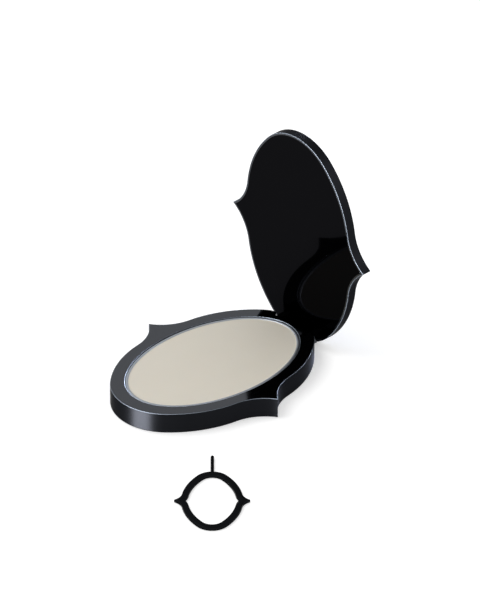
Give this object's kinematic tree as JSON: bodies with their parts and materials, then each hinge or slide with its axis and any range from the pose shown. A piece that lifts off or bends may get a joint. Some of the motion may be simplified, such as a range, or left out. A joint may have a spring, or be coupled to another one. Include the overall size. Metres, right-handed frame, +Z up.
{
  "type": "refillable pan compact",
  "caption": "Ogee-shaped black metal compact with a hinged lid, an oval lift-out refill pan and a ring-handled push-out tool.",
  "frame": {"origin": "centre of the push-out hole on the underside of the base", "axes": "+Z up out of the recess, +Y towards the hinge, X from cusp to cusp"},
  "size_m": [0.0961, 0.1014, 0.0754],
  "materials": {
    "case_black": "polished black plated zinc",
    "floor_black": "satin black",
    "plate_black": "mirror polished black",
    "magnet": "nickel plated",
    "pin_steel": "ground",
    "pan_metal": "turned and brushed",
    "cream": "smooth cream",
    "tool_black": "satin black"
  },
  "bodies": {
    "base": {"base_frame": "case_black", "base_floor": "floor_black", "base_magnets": "magnet", "hinge_pin": "pin_steel"},
    "lid": {"lid_shell": "case_black", "lid_plate": "plate_black", "lid_knuckles": "case_black", "lid_magnets": "magnet"},
    "pan": {"pan_tray": "pan_metal", "pan_fill": "cream"},
    "tool": {"tool_ring": "tool_black", "tool_pin": "tool_black"}
  },
  "joints": [
    {"name": "lid_hinge", "type": "hinge", "parent": "base", "child": "lid", "pos_m": [0, 0.034, 0.00365], "axis": [-1, 0, 0], "range_deg": [-88.6, 0]},
    {"name": "pan_lift", "type": "slide", "parent": "base", "child": "pan", "axis": [0, 0, 1], "range_m": [0, 0.044]},
    {"name": "tool_lift", "type": "slide", "parent": "base", "child": "tool", "axis": [0, 0, 1], "range_m": [0, 0.03]}
  ]
}
